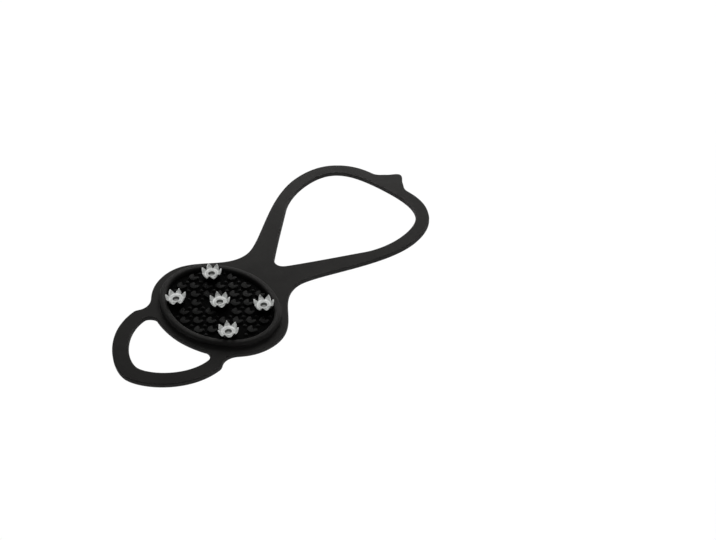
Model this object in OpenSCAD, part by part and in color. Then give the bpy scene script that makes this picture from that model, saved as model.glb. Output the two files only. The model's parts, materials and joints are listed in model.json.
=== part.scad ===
// Ice cleat: an elastomer overshoe with a toe loop, a sole pad carrying five
// riveted steel crowns, and a heel loop that ends in a pull tab.
// Millimetres. Studs point up (+Z), the face that lies on the shoe sole is z = 0,
// +Y runs from toe to heel, and the origin is the middle of the sole pad.

/* [Sole pad] */
// Thickness of the elastomer band and of the pad's flange
band_t = 2.3; // [2:0.05:3]
// Width of the pad's flange across the foot
pad_w = 78.4; // [74:0.2:86]
// Reach of the flange from the middle toward the toe
pad_toe = 30.4; // [29.4:0.1:30.8]
// Width of the neck where the heel loop folds
neck_w = 36.5; // [32:0.25:42]

/* [Ring] */
// Length of the oval ring's centre line across the foot
ring_w = 65.1; // [62:0.1:68]
// Length of the oval ring's centre line along the foot
ring_l = 50.2; // [48:0.1:51]
// Width of the ring's wall
ring_band = 3.6; // [2.8:0.1:4.2]
// Height of the ring above the flange
ring_h = 2.6; // [2:0.1:3.4]
// Radius of the ring's arcs at the left and right ends
ring_end_r = 20; // [19:0.1:21.5]
// Radius on the edges of the ring's crest
crest_r = 1.3; // [0.8:0.1:1.35]

/* [Toe loop] */
// Distance from the pad's middle to the toe tip
toe_reach = 65.2; // [62:0.2:72]
// Width across the toe loop at its fold line
toe_w = 61.2; // [58:0.2:64]
// Distance from the pad's middle to the toe loop's fold line
toe_fold = 31; // [30.9:0.1:33]
// Width of the toe opening at the fold line
toe_hole_w = 45.4; // [42:0.2:48]
// Width of the band at the toe tip
toe_band = 8.3; // [7:0.1:10]

/* [Heel loop] */
// Distance from the pad's middle to the heel loop's fold line
heel_fold = 38; // [36.5:0.1:41]
// Distance from the pad's middle to the shoulders at the heel
heel_reach = 135.6; // [130:0.2:145]
// Widest measure across the heel loop
heel_w = 85.7; // [80:0.2:92]
// Distance from the pad's middle to the widest place of the heel loop
heel_wide = 103.8; // [100:0.2:108]
// Web of rubber between the fold line and the opening's point
neck_web = 4.4; // [3:0.1:6]
// Width of the band at the sides of the heel loop
side_band = 7.7; // [6:0.1:9]
// Width of the band across the heel
heel_band = 6.7; // [5:0.1:8]
// Width of the pull tab at its base
tab_w = 26; // [20:0.5:30]
// Height of the pull tab above the shoulders
tab_h = 9.2; // [7:0.1:12]

/* [Tread] */
// Thickness of the tread insert's floor
tread_t = 0.6; // [0.5:0.05:1]
// Height of the knobs above the tread's floor
knob_h = 1; // [0.8:0.1:1.6]
// Width of one shield-shaped knob
knob_w = 5; // [4.2:0.1:5.4]
// Length of one shield-shaped knob
knob_l = 4.3; // [3.6:0.1:4.5]
// Spacing of the knob columns across the foot
knob_column = 5; // [4.6:0.1:5.4]
// Spacing of the knob rows along the foot
knob_row = 4.3; // [4.1:0.1:4.8]
// Shift of the whole pattern toward the toe
knob_shift = 0.7; // [0:0.1:1.2]
// Width across one small pip
pip_w = 2.2; // [1.4:0.1:2.6]
// Height of the pips above the tread's floor
pip_h = 0.7; // [0.5:0.1:1]

/* [Studs] */
// Half the spacing of the outer studs across the foot
stud_x = 18.5; // [17:0.1:20]
// Half the spacing of the outer studs along the foot
stud_y = 12.7; // [11.8:0.1:13.4]
// Diameter of the rubber boss under each crown
boss_d = 8.6; // [8:0.1:9.4]
// Height of the bosses above the tread's floor
boss_h = 1.6; // [1.2:0.1:2.2]
// Number of teeth on one crown
tooth_count = 7; // [6:1:9]
// Diameter of the circle through the tooth tips
crown_tip_d = 10.6; // [10.2:0.1:11.6]
// Diameter at which the teeth turn up
crown_bend_d = 9.8; // [9:0.1:10.2]
// Diameter of the crown's flat base
crown_base_d = 6.4; // [6.2:0.1:7]
// Height of one crown
crown_h = 3.5; // [3:0.1:4]
// Height of the gaps' bottoms above the crown's seat
gap_foot = 0.4; // [0.3:0.05:0.8]
// Thickness of the crown's sheet steel
sheet_t = 0.7; // [0.5:0.05:0.8]
// Width of a tooth at its tip
tooth_tip = 0.3; // [0.2:0.05:0.6]
// Diameter of the rivet's shank
rivet_d = 4.2; // [3.8:0.1:4.6]
// Bore in the rivet's tubular end
rivet_bore = 3.4; // [2.8:0.1:3.6]
// Depth of the bore below the rolled rim
bore_depth = 1.8; // [1:0.1:2.6]
// Diameter of the rim that is rolled over the crown
rim_d = 5.6; // [5.2:0.1:6]
// Thickness of the rolled rim
rim_t = 0.3; // [0.2:0.05:0.5]
// Diameter of the rivet's flat head on the shoe side
head_d = 7.4; // [6.6:0.1:8.2]
// Thickness of the rivet's flat head
head_t = 0.6; // [0.4:0.05:0.7]
// Diameter of the backing washer
washer_d = 10.4; // [9.4:0.1:11.4]
// Thickness of the backing washer
washer_t = 0.6; // [0.4:0.05:0.8]
// Turn of the crown in the middle
turn_centre = 46; // [0:0.5:51]
// Turn of the crown at the toe, left
turn_toe_left = 14; // [0:0.5:51]
// Turn of the crown at the toe, right
turn_toe_right = 39.5; // [0:0.5:51]
// Turn of the crown at the heel, left
turn_heel_left = 48; // [0:0.5:51]
// Turn of the crown at the heel, right
turn_heel_right = 0; // [0:0.5:51]

/* [Clearances] */
// Gap at each fold line
fold_gap = 0.05; // [0.02:0.01:0.2]
// Gap round the tread insert and the washers
seat_gap = 0.1; // [0.05:0.05:0.3]
// Gap round each rivet
rivet_gap = 0.05; // [0.02:0.01:0.1]

/* [Hidden] */
$fn = 64;
curve_steps = 14;
crest_steps = 5;
ring_lap = 0.5;
ring_slim = 0.01;
overlap = 0.4;

// Flange and neck
pad_half = pad_w / 2;
neck_half = neck_w / 2;
flange_fall = 0.41;
neck_rise = 0.37;
flange_rise = 0.36;

// Notch between the toe loop and the flange
notch_in_x = 0.941;
notch_in_y = 4.2;
notch_in_dir = 109;
notch_out_x = 0.792;
notch_out_y = 12.3;
notch_out_dir = 45;
notch_ease = 0.36;

// Corner between the toe opening and the flange
corner_x = 0.77;
corner_y = 3.1;
corner_dir = 21;
corner_ease = 0.3;
corner_turn_ease = 0.27;

// Toe loop
toe_half = toe_w / 2;
toe_hole_half = toe_hole_w / 2;
toe_tip_ease = 0.22;
toe_side_ease = 0.45;
toe_hole_ease = 0.21;
toe_hole_side_ease = 0.43;

// Heel loop
heel_half = heel_w / 2;
heel_hole_half = heel_half - side_band;
heel_hole_low = heel_fold + neck_web;
heel_hole_top = heel_reach - heel_band;
neck_ease = 0.17;
heel_side_ease = 0.35;
heel_turn_ease = 0.48;
shoulder_x = 0.82;
shoulder_y = 0.712;
shoulder_dir = 135.5;
shoulder_ease_in = 0.23;
shoulder_ease_out = 0.32;
tab_root_dir = 177;
tab_root_ease = 0.45;
tab_flank_x = 0.454;
tab_flank_y = 0.457;
tab_flank_dir = 145;
tab_ease = 0.31;
point_x = 0.142;
point_y = 0.0545;
point_dir = 54.2;
point_ease = 0.38;
leg_x = 0.808;
leg_y = 0.615;
leg_dir = 56.1;
leg_ease = 0.33;
leg_turn_ease = 0.25;
leg_side_ease = 0.39;
hole_turn_ease = 0.47;
hole_top_ease = 0.56;

// Oval of the ring: two end arcs and two side arcs that meet tangentially
ring_a = ring_w / 2;
ring_b = ring_l / 2;
end_r = ring_end_r;
side_r = (pow(ring_a - end_r, 2) + ring_b * ring_b - end_r * end_r) / (2 * (ring_b - end_r));
end_x = ring_a - end_r;
side_y = side_r - ring_b;
arc_angle = atan2(side_y, end_x);
tread_inset = ring_band / 2 + seat_gap;

// Stack of one stud, from the shoe side up
recess_z = head_t + washer_t;
floor_z = band_t + tread_t;
knob_z = floor_z + knob_h;
pip_z = floor_z + pip_h;
boss_z = floor_z + boss_h;
rim_z = boss_z + sheet_t;
rim_top = rim_z + rim_t;
tip_z = boss_z + crown_h;
hole_d = rivet_d + 2 * rivet_gap;

// Crown: a stamped star, cupped so that its teeth point up and outward
crown_steps = 8;
base_r = crown_base_d / 2;
bend_r = crown_bend_d / 2;
tip_r = crown_tip_d / 2;
tooth_pitch = 360 / tooth_count;
gap_half = tip_r * sin(tooth_pitch / 2) - tooth_tip / 2;
gap_over = 1.5;

// Shield-shaped knob, as fractions of half its width and of its length
knob_foot = 0.42;
knob_cheek = 0.86;
knob_cheek_y = 0.3;
knob_ear = 0.7;
knob_ear_in = 0.34;
knob_side_y = 0.06;
knob_notch_y = 0.05;
knob_columns = 6;
knob_rows = 10;
tread_gap = 0.2;
stud_gap = 0.2;

studs = [[0, 0], [-stud_x, -stud_y], [stud_x, -stud_y], [-stud_x, stud_y], [stud_x, stud_y]];
turns = [turn_centre, turn_toe_left, turn_toe_right, turn_heel_left, turn_heel_right];

rubber = [0.19, 0.185, 0.18];
tread_black = [0.09, 0.09, 0.095];
steel = [0.76, 0.77, 0.79];
zinc = [0.66, 0.67, 0.68];

// A knot of an outline: position, direction of travel, ease before it, ease after it
function knot(x, y, dir, before, after) = [x, y, dir, before, after];

function place(k) = [k[0], k[1]];

function heading(k) = [cos(k[2]), sin(k[2])];

// Smooth curve between two knots, without its last point
function stretch(a, b) =
  let (
    span = norm(place(b) - place(a)),
    p = place(a) + span * a[4] * heading(a),
    q = place(b) - span * b[3] * heading(b)
  )
  [
    for (i = [0 : curve_steps - 1])
      let (t = i / curve_steps, s = 1 - t)
      s * s * s * place(a) + 3 * s * s * t * p + 3 * s * t * t * q + t * t * t * place(b)
  ];

// Points of an outline through all its knots
function outline(knots) =
  concat(
    [for (i = [0 : len(knots) - 2]) each stretch(knots[i], knots[i + 1])],
    [place(knots[len(knots) - 1])]
  );

// An outline's right half followed by its mirror image
function both_sides(half) =
  concat(half, [for (i = [len(half) - 1 : -1 : 0]) if (half[i][0] > 0) [-half[i][0], half[i][1]]]);

sole_low = outline([
  knot(0, -pad_toe, 0, 0, corner_ease),
  knot(corner_x * toe_hole_half, -pad_toe + corner_y, corner_dir, corner_ease, corner_turn_ease),
  knot(toe_hole_half, -toe_fold + fold_gap, 270, corner_ease, 0)
]);

sole_side = outline([
  knot(toe_half, -toe_fold + fold_gap, 90, 0, notch_ease),
  knot(notch_in_x * toe_half, -toe_fold + notch_in_y, notch_in_dir, notch_ease, notch_ease),
  knot(notch_out_x * pad_half, -toe_fold + notch_out_y, notch_out_dir, notch_ease, notch_ease),
  knot(pad_half, 0, 90, flange_rise, flange_fall),
  knot(neck_half, heel_fold - fold_gap, 90, neck_rise, 0)
]);

toe_outer = outline([
  knot(0, -toe_reach, 0, 0, toe_tip_ease),
  knot(toe_half, -toe_fold, 90, toe_side_ease, 0)
]);

toe_inner = outline([
  knot(0, -toe_reach + toe_band, 0, 0, toe_hole_ease),
  knot(toe_hole_half, -toe_fold, 90, toe_hole_side_ease, 0)
]);

heel_outer = outline([
  knot(neck_half, heel_fold, 90, 0, neck_ease),
  knot(heel_half, heel_wide, 90, heel_side_ease, heel_turn_ease),
  knot(
    shoulder_x * heel_half,
    heel_wide + shoulder_y * (heel_reach - heel_wide),
    shoulder_dir,
    shoulder_ease_in,
    shoulder_ease_out
  ),
  knot(tab_w / 2, heel_reach, tab_root_dir, tab_root_ease, tab_root_ease),
  knot(tab_flank_x * tab_w / 2, heel_reach + tab_flank_y * tab_h, tab_flank_dir, tab_ease, tab_ease),
  knot(0, heel_reach + tab_h, 180, tab_ease, 0)
]);

heel_inner = outline([
  knot(0, heel_hole_low, 0, 0, point_ease),
  knot(
    point_x * heel_hole_half,
    heel_hole_low + point_y * (heel_wide - heel_hole_low),
    point_dir,
    point_ease,
    leg_ease
  ),
  knot(
    leg_x * heel_hole_half,
    heel_hole_low + leg_y * (heel_wide - heel_hole_low),
    leg_dir,
    leg_ease,
    leg_turn_ease
  ),
  knot(heel_hole_half, heel_wide, 90, leg_side_ease, hole_turn_ease),
  knot(0, heel_hole_top, 180, hole_top_ease, 0)
]);

// Oval that runs parallel to the ring's centre line, grown by the given amount
module oval(grow) {
  end_rim = end_r + grow;
  side_rim = side_r + grow;
  meet = end_x + end_rim * cos(arc_angle);
  intersection() {
    translate([0, -side_y])
      circle(r = side_rim);
    translate([0, side_y])
      circle(r = side_rim);
    square([2 * meet, 4 * ring_b], center = true);
  }
  for (side = [-1, 1])
    translate([side * end_x, 0])
      circle(r = end_rim);
}

// Section of the ring's wall with a rounded crest, at the given radius
module ring_section(r, slim) {
  wall = ring_band / 2 - slim;
  base = band_t - overlap;
  top = band_t + ring_h - crest_r - slim;
  right = [
    [wall, base],
    for (i = [0 : crest_steps])
      let (a = 90 * i / crest_steps)
      [wall - crest_r + crest_r * cos(a), top + crest_r * sin(a)]
  ];
  translate([r, 0])
    polygon(both_sides(right));
}

// Raised oval ring round the tread; its side arcs run a short way into its end arcs
module ring() {
  side_angle = 180 - 2 * arc_angle + 2 * ring_lap;
  for (turn = [0, 180])
    rotate(turn) {
      translate([end_x, 0])
        rotate(-arc_angle)
          rotate_extrude(angle = 2 * arc_angle)
            ring_section(end_r, 0);
      translate([0, -side_y])
        rotate(arc_angle - ring_lap)
          rotate_extrude(angle = side_angle)
            ring_section(side_r, ring_slim);
    }
}

// Through holes for the rivets, with recesses for the backing washers
module stud_holes() {
  for (p = studs)
    translate([p[0], p[1], -overlap]) {
      cylinder(d = hole_d, h = band_t + 2 * overlap);
      cylinder(d = washer_d + 2 * seat_gap, h = recess_z + overlap);
    }
}

module sole_band() {
  color(rubber)
    difference() {
      union() {
        linear_extrude(band_t)
          polygon(both_sides(concat(sole_low, sole_side)));
        ring();
      }
      stud_holes();
    }
}

module toe_loop() {
  rim = both_sides(toe_outer);
  inside = both_sides(toe_inner);
  color(rubber)
    linear_extrude(band_t)
      difference() {
        polygon(rim);
        polygon(inside);
      }
}

module heel_loop() {
  color(rubber)
    linear_extrude(band_t)
      difference() {
        polygon(both_sides(heel_outer));
        polygon(both_sides(heel_inner));
      }
}

// Outline of one knob: rounded foot toward the toe, two ears toward the heel
function knob_outline() =
  let (half = knob_w / 2)
  both_sides([
    [knob_foot * half, -knob_l / 2],
    [knob_cheek * half, -knob_cheek_y * knob_l],
    [half, knob_side_y * knob_l],
    [half, knob_cheek_y * knob_l],
    [knob_ear * half, knob_l / 2],
    [knob_ear_in * half, knob_cheek_y * knob_l],
    [0, knob_notch_y * knob_l]
  ]);

// Four points on the rim of one pip
function pip_outline() = [for (a = [0 : 90 : 270]) pip_w / 2 * [cos(a), sin(a)]];

// Point of the cup's outer curve, from the flat base (t = 0) to the tips (t = 1)
function cup_point(t) =
  let (s = 1 - t)
  s * s * [base_r, 0] + 2 * s * t * [bend_r, 0] + t * t * [tip_r, crown_h];

// The cup's outer curve at the given height above the crown's seat
function cup_at(height) = cup_point(sqrt(max(0, height) / crown_h));

// Tells whether a point lies inside the oval that is grown by the given amount
function in_oval(p, grow) =
  let (x = abs(p[0]), y = abs(p[1]))
  x > end_x && atan2(y, x - end_x) < arc_angle
    ? norm([x - end_x, y]) <= end_r + grow
    : norm([x, y + side_y]) <= side_r + grow;

// Tells whether a point of the tread's relief stands clear of the ring and of every stud
function is_clear(p) =
  in_oval(p, -ring_band / 2 - tread_gap)
  && min([for (s = studs) norm(p - s)]) >= max(boss_d / 2, cup_at(knob_z - boss_z)[0]) + stud_gap;

// Places of the staggered knobs (shift 0) or of the pips between them (shift 1)
function tread_places(shift, shape) = [
  for (row = [0 : knob_rows - 1])
    for (column = [-knob_columns : knob_columns])
      let (
        p = [column * knob_column, (row - (knob_rows - 1) / 2) * knob_row - knob_shift],
        blocked = [for (q = shape) if (!is_clear(p + q)) q]
      )
      if ((row + column + shift + knob_columns) % 2 == 1 && len(blocked) == 0) p
];

module tread_pad() {
  color(tread_black)
    difference() {
      union() {
        translate([0, 0, band_t])
          linear_extrude(tread_t)
            oval(-tread_inset);
        for (p = tread_places(0, knob_outline()))
          translate([p[0], p[1], floor_z - overlap])
            linear_extrude(knob_z - floor_z + overlap)
              polygon(knob_outline());
        for (p = tread_places(1, pip_outline()))
          translate([p[0], p[1], floor_z - overlap])
            cylinder(d = pip_w, h = pip_z - floor_z + overlap);
        for (p = studs)
          translate([p[0], p[1], floor_z - overlap])
            cylinder(d = boss_d, h = boss_z - floor_z + overlap);
      }
      for (p = studs)
        translate([p[0], p[1], 0])
          cylinder(d = hole_d, h = tip_z);
    }
}

// The cup's outer curve moved inward by the sheet's thickness
function cup_inside(t) =
  let (
    way = (1 - t) * [bend_r - base_r, 0] + t * [tip_r - bend_r, crown_h],
    dir = way / norm(way)
  )
  cup_point(t) + sheet_t * [-dir[1], dir[0]];

// Cup of sheet steel before the gaps between the teeth are cut
module crown_cup() {
  steps = [0 : crown_steps];
  outside = [for (i = steps) cup_point(i / crown_steps)];
  inside = [for (i = steps) cup_inside(1 - i / crown_steps)];
  rotate_extrude()
    polygon(concat([[hole_d / 2, 0]], outside, inside, [[hole_d / 2, sheet_t]]));
}

// Crown stud with pointed teeth, at stud number i
module crown(i) {
  foot = cup_at(gap_foot);
  way = [tip_r * cos(tooth_pitch / 2), crown_h] - foot;
  edge = gap_over * [norm(way), gap_half];
  color(steel)
    translate([studs[i][0], studs[i][1], boss_z])
      rotate(turns[i])
        difference() {
          crown_cup();
          for (k = [0 : tooth_count - 1])
            rotate((k + 0.5) * tooth_pitch)
              translate([foot[0], 0, foot[1]])
                rotate([0, -atan2(way[1], way[0]), 0])
                  linear_extrude(2 * crown_h, center = true)
                    polygon([[0, 0], edge, [edge[0], -edge[1]]]);
        }
}

// Semi-tubular rivet: flat head on the shoe side, rim rolled over the crown
module rivet(i) {
  bore_r = rivet_bore / 2;
  bore_z = rim_top - bore_depth;
  color(zinc)
    translate([studs[i][0], studs[i][1], 0])
      rotate_extrude()
        polygon([
          [0, 0],
          [head_d / 2, 0],
          [head_d / 2, head_t],
          [rivet_d / 2, head_t],
          [rivet_d / 2, rim_z],
          [rim_d / 2, rim_z],
          [rim_d / 2, rim_z + rim_t / 2],
          [rim_d / 2 - rim_t / 2, rim_top],
          [bore_r + rim_t / 2, rim_top],
          [bore_r, rim_z],
          [bore_r, bore_z],
          [0, bore_z - bore_r / 2]
        ]);
}

// Backing washer that spreads the rivet's pull, set into the shoe side
module washer(i) {
  color(zinc)
    translate([studs[i][0], studs[i][1], head_t])
      difference() {
        cylinder(d = washer_d, h = washer_t);
        translate([0, 0, -overlap])
          cylinder(d = hole_d, h = washer_t + 2 * overlap);
      }
}

module crown_centre() { crown(0); }
module crown_toe_left() { crown(1); }
module crown_toe_right() { crown(2); }
module crown_heel_left() { crown(3); }
module crown_heel_right() { crown(4); }
module rivet_centre() { rivet(0); }
module rivet_toe_left() { rivet(1); }
module rivet_toe_right() { rivet(2); }
module rivet_heel_left() { rivet(3); }
module rivet_heel_right() { rivet(4); }
module washer_centre() { washer(0); }
module washer_toe_left() { washer(1); }
module washer_toe_right() { washer(2); }
module washer_heel_left() { washer(3); }
module washer_heel_right() { washer(4); }

sole_band();
toe_loop();
heel_loop();
tread_pad();
crown_centre();
crown_toe_left();
crown_toe_right();
crown_heel_left();
crown_heel_right();
rivet_centre();
rivet_toe_left();
rivet_toe_right();
rivet_heel_left();
rivet_heel_right();
washer_centre();
washer_toe_left();
washer_toe_right();
washer_heel_left();
washer_heel_right();
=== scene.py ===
"""Looks of a pull-over ice cleat: rubber band, studded tread, steel crowns, floor, light and camera."""

import json
import logging
import math
from dataclasses import dataclass, field
from enum import Enum

import bmesh
import bpy
import numpy as np
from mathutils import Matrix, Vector
from mathutils.geometry import delaunay_2d_cdt
from mathutils.kdtree import KDTree


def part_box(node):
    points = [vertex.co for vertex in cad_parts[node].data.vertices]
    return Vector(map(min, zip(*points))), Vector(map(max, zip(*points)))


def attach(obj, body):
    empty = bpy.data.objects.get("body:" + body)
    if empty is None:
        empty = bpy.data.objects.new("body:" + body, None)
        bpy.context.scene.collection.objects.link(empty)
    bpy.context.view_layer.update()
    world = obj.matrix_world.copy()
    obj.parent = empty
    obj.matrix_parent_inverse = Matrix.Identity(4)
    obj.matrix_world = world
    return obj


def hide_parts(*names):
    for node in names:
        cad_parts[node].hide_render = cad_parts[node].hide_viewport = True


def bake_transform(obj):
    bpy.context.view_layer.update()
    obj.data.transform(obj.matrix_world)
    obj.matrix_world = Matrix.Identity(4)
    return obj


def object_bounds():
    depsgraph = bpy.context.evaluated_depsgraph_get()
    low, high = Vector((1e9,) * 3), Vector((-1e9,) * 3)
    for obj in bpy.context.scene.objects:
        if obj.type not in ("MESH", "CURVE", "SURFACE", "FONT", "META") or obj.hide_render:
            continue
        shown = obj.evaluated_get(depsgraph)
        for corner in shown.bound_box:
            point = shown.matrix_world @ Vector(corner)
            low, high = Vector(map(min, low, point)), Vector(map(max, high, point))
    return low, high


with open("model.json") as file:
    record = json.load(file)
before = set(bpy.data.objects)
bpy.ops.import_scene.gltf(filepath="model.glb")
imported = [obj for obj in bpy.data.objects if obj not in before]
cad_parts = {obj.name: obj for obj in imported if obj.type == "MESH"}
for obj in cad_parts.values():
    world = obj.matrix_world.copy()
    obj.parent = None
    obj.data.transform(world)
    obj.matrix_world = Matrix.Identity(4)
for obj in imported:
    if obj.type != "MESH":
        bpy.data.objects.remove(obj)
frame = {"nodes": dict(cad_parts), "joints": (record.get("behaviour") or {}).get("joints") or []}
cad_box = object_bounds()

log = logging.getLogger("ice_cleat")

Colour = tuple[float, float, float]
Socket = bpy.types.NodeSocket

MM = 0.001
WHITE = (1.0, 1.0, 1.0, 1.0)
# Points closer than this are one point
SAME_PLACE = 0.002 * MM
# Outline points this close to a fold line lie on it
FOLD_SNAP = 0.3 * MM
# Least upright share of a level face's normal
LEVEL_NORMAL = 0.999
# Largest share of a side that the curve of its corner takes
CORNER_SHARE = 0.45
# Edges that bend more than this count as sharp
SHARP_ANGLE = math.radians(48)
# Mesh attribute that says how much scuffing and painted light show: scuffing and a painted highlight on the
# band's edges and the tread's knobs, painted shade in the rivets' bores
WEAR_AND_PAINTED_LIGHT = "wear_and_painted_light"


class Body(Enum):
    """Moving bodies of the cleat."""

    SOLE = "sole"
    TOE_LOOP = "toe_loop"
    HEEL_LOOP = "heel_loop"


class Slot(Enum):
    """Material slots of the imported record."""

    BAND = "band_rubber"
    TREAD = "tread_rubber"
    CROWN = "crown_steel"
    RIVET = "rivet_steel"
    WASHER = "washer_steel"


class StudPlace(Enum):
    """Places of the five studs on the tread."""

    CENTRE = "centre"
    TOE_LEFT = "toe_left"
    TOE_RIGHT = "toe_right"
    HEEL_LEFT = "heel_left"
    HEEL_RIGHT = "heel_right"


def stud_centre(place: StudPlace) -> np.ndarray:
    """Gives the plan point of a stud's axis."""
    low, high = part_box(f"rivet_{place.value}")
    return np.array(((low.x + high.x) / 2, (low.y + high.y) / 2))


def flat_loops(node: str, height: float) -> list[np.ndarray]:
    """Finds the outlines of a CAD node's level faces.

    Args:
        node: Name of the CAD node.
        height: Height of the faces.

    Returns:
        Closed outlines as plan points, each with the material on its left.
    """
    mesh = bmesh.new()
    mesh.from_mesh(frame["nodes"][node].data)
    bmesh.ops.remove_doubles(mesh, verts=mesh.verts, dist=SAME_PLACE)
    level = [f for f in mesh.faces if all(abs(v.co.z - height) < SAME_PLACE for v in f.verts)]
    inside = set(level)
    after = {}
    for face in level:
        for corner in face.loops:
            if sum(other in inside for other in corner.edge.link_faces) == 1:
                ends = [corner.vert, corner.link_loop_next.vert]
                if face.normal.z < 0:
                    ends.reverse()
                after[ends[0]] = ends[1]
    loops = []
    while after:
        vert = next(iter(after))
        loop = []
        while vert in after:
            loop.append((vert.co.x, vert.co.y))
            vert = after.pop(vert)
        loops.append(np.array(loop))
    mesh.free()
    return loops


def levels(node: str) -> list[float]:
    """Lists the heights of a CAD node's level faces.

    Args:
        node: Name of the CAD node.

    Returns:
        The heights, lowest first.
    """
    heights = []
    for face in frame["nodes"][node].data.polygons:
        height = face.center.z
        if abs(face.normal.z) > LEVEL_NORMAL and all(abs(height - h) > SAME_PLACE for h in heights):
            heights.append(height)
    return sorted(heights)


def signed_area(loop: np.ndarray) -> float:
    """Gives the area inside a closed outline, which is negative where it runs clockwise."""
    following = np.roll(loop, -1, axis=0)
    return np.sum(loop[:, 0] * following[:, 1] - loop[:, 1] * following[:, 0]) / 2


def is_inside(points: np.ndarray, loops: list[np.ndarray]) -> np.ndarray:
    """Tells which plan points lie inside a region.

    Args:
        points: Plan points.
        loops: Closed outlines of the region and of its holes.

    Returns:
        One truth value for each point.
    """
    odd = np.zeros(len(points), bool)
    x, y = points[:, :1], points[:, 1:]
    for loop in loops:
        following = np.roll(loop, -1, axis=0)
        crosses = (loop[:, 1] > y) != (following[:, 1] > y)
        rise = np.where(following[:, 1] == loop[:, 1], 1.0, following[:, 1] - loop[:, 1])
        meets = loop[:, 0] + (y - loop[:, 1]) / rise * (following[:, 0] - loop[:, 0])
        odd ^= (crosses & (x < meets)).sum(axis=1) % 2 == 1
    return odd


def spline_through(knots: np.ndarray, step: float, closed: bool) -> np.ndarray:
    """Draws a smooth curve through knots.

    Args:
        knots: Points on the curve; an open curve meets a fold line squarely at both ends.
        step: Spacing of the points along the curve.
        closed: Whether the curve returns to its first knot.

    Returns:
        Evenly spaced points on the curve.
    """
    if closed:
        knots = np.vstack([knots, knots[:1]])
    chords = np.diff(knots, axis=0)
    gaps = np.linalg.norm(chords, axis=1)
    # Slopes at the knots that keep the curvature unbroken
    rise = 3 * chords / gaps[:, None] ** 2
    last = len(knots) - 1
    system = np.zeros((last + 1, last + 1))
    wanted = np.zeros((last + 1, 2))
    for i in range(1, last):
        system[i, i - 1 : i + 2] = 1 / gaps[i - 1], 2 / gaps[i - 1] + 2 / gaps[i], 1 / gaps[i]
        wanted[i] = rise[i - 1] + rise[i]
    system[0, 0] = system[last, last] = 1
    if closed:
        system[0, last] = -1
        system[last, :2] = 2 / gaps[0], 1 / gaps[0]
        system[last, last - 1 :] = 1 / gaps[-1], 2 / gaps[-1]
        wanted[last] = rise[-1] + rise[0]
    else:
        wanted[0] = 0, np.sign(chords[0, 1])
        wanted[last] = 0, np.sign(chords[-1, 1])
    slopes = np.linalg.solve(system, wanted)
    # Evenly spaced points on the cubic pieces between the knots
    reached = np.concatenate([[0], np.cumsum(gaps)])
    along = np.linspace(0, reached[-1], round(reached[-1] / step) + 1)
    k = np.clip(np.searchsorted(reached, along, side="right") - 1, 0, last - 1)
    gap = gaps[k][:, None]
    t = (along - reached[k])[:, None] / gap
    s = 1 - t
    points = (
        (1 + 2 * t) * s * s * knots[k]
        + t * s * s * gap * slopes[k]
        + (1 + 2 * s) * t * t * knots[k + 1]
        - s * t * t * gap * slopes[k + 1]
    )
    return points[:-1] if closed else points


def left_normals(points: np.ndarray, closed: bool) -> np.ndarray:
    """Gives the directions to the left of a path.

    Args:
        points: Plan points along the path.
        closed: Whether the path returns to its first point; an open one ends on fold lines.

    Returns:
        One unit vector for each point.
    """
    ways = np.roll(points, -1, axis=0) - np.roll(points, 1, axis=0)
    if not closed:
        ways[0] = 0, points[1, 1] - points[0, 1]
        ways[-1] = 0, points[-1, 1] - points[-2, 1]
    ways /= np.linalg.norm(ways, axis=1)[:, None]
    return np.column_stack([-ways[:, 1], ways[:, 0]])


def rounded(corners: np.ndarray, reach: float, steps: int, closed: bool) -> np.ndarray:
    """Rounds the corners of a path.

    Args:
        corners: Points of the path.
        reach: How far from a corner its curve starts, where the sides are long enough.
        steps: Number of steps in each curve.
        closed: Whether the path returns to its first corner.

    Returns:
        Points of the rounded path.
    """
    points = []
    for i, corner in enumerate(corners):
        if not closed and i in (0, len(corners) - 1):
            points.append(corner)
            continue
        before = corners[i - 1] - corner
        behind = corners[(i + 1) % len(corners)] - corner
        sides = np.linalg.norm(before), np.linalg.norm(behind)
        cut = min(reach, CORNER_SHARE * min(sides))
        start = corner + before / sides[0] * cut
        end = corner + behind / sides[1] * cut
        for t in np.linspace(0, 1, steps + 1):
            points.append((1 - t) ** 2 * start + 2 * t * (1 - t) * corner + t * t * end)
    return np.array(points)


def around(centre: np.ndarray, radius: float, angles: np.ndarray) -> np.ndarray:
    """Gives the plan points at some angles round a centre."""
    return centre + radius * np.column_stack([np.cos(angles), np.sin(angles)])


def circle(centre: np.ndarray, radius: float, count: int) -> np.ndarray:
    """Gives the points of a circle, counterclockwise."""
    return around(centre, radius, np.linspace(0, 2 * math.pi, count, endpoint=False))


def quarter(steps: int) -> np.ndarray:
    """Gives the angles of a quarter turn in even steps."""
    return np.linspace(0, math.pi / 2, steps + 1)


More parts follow.
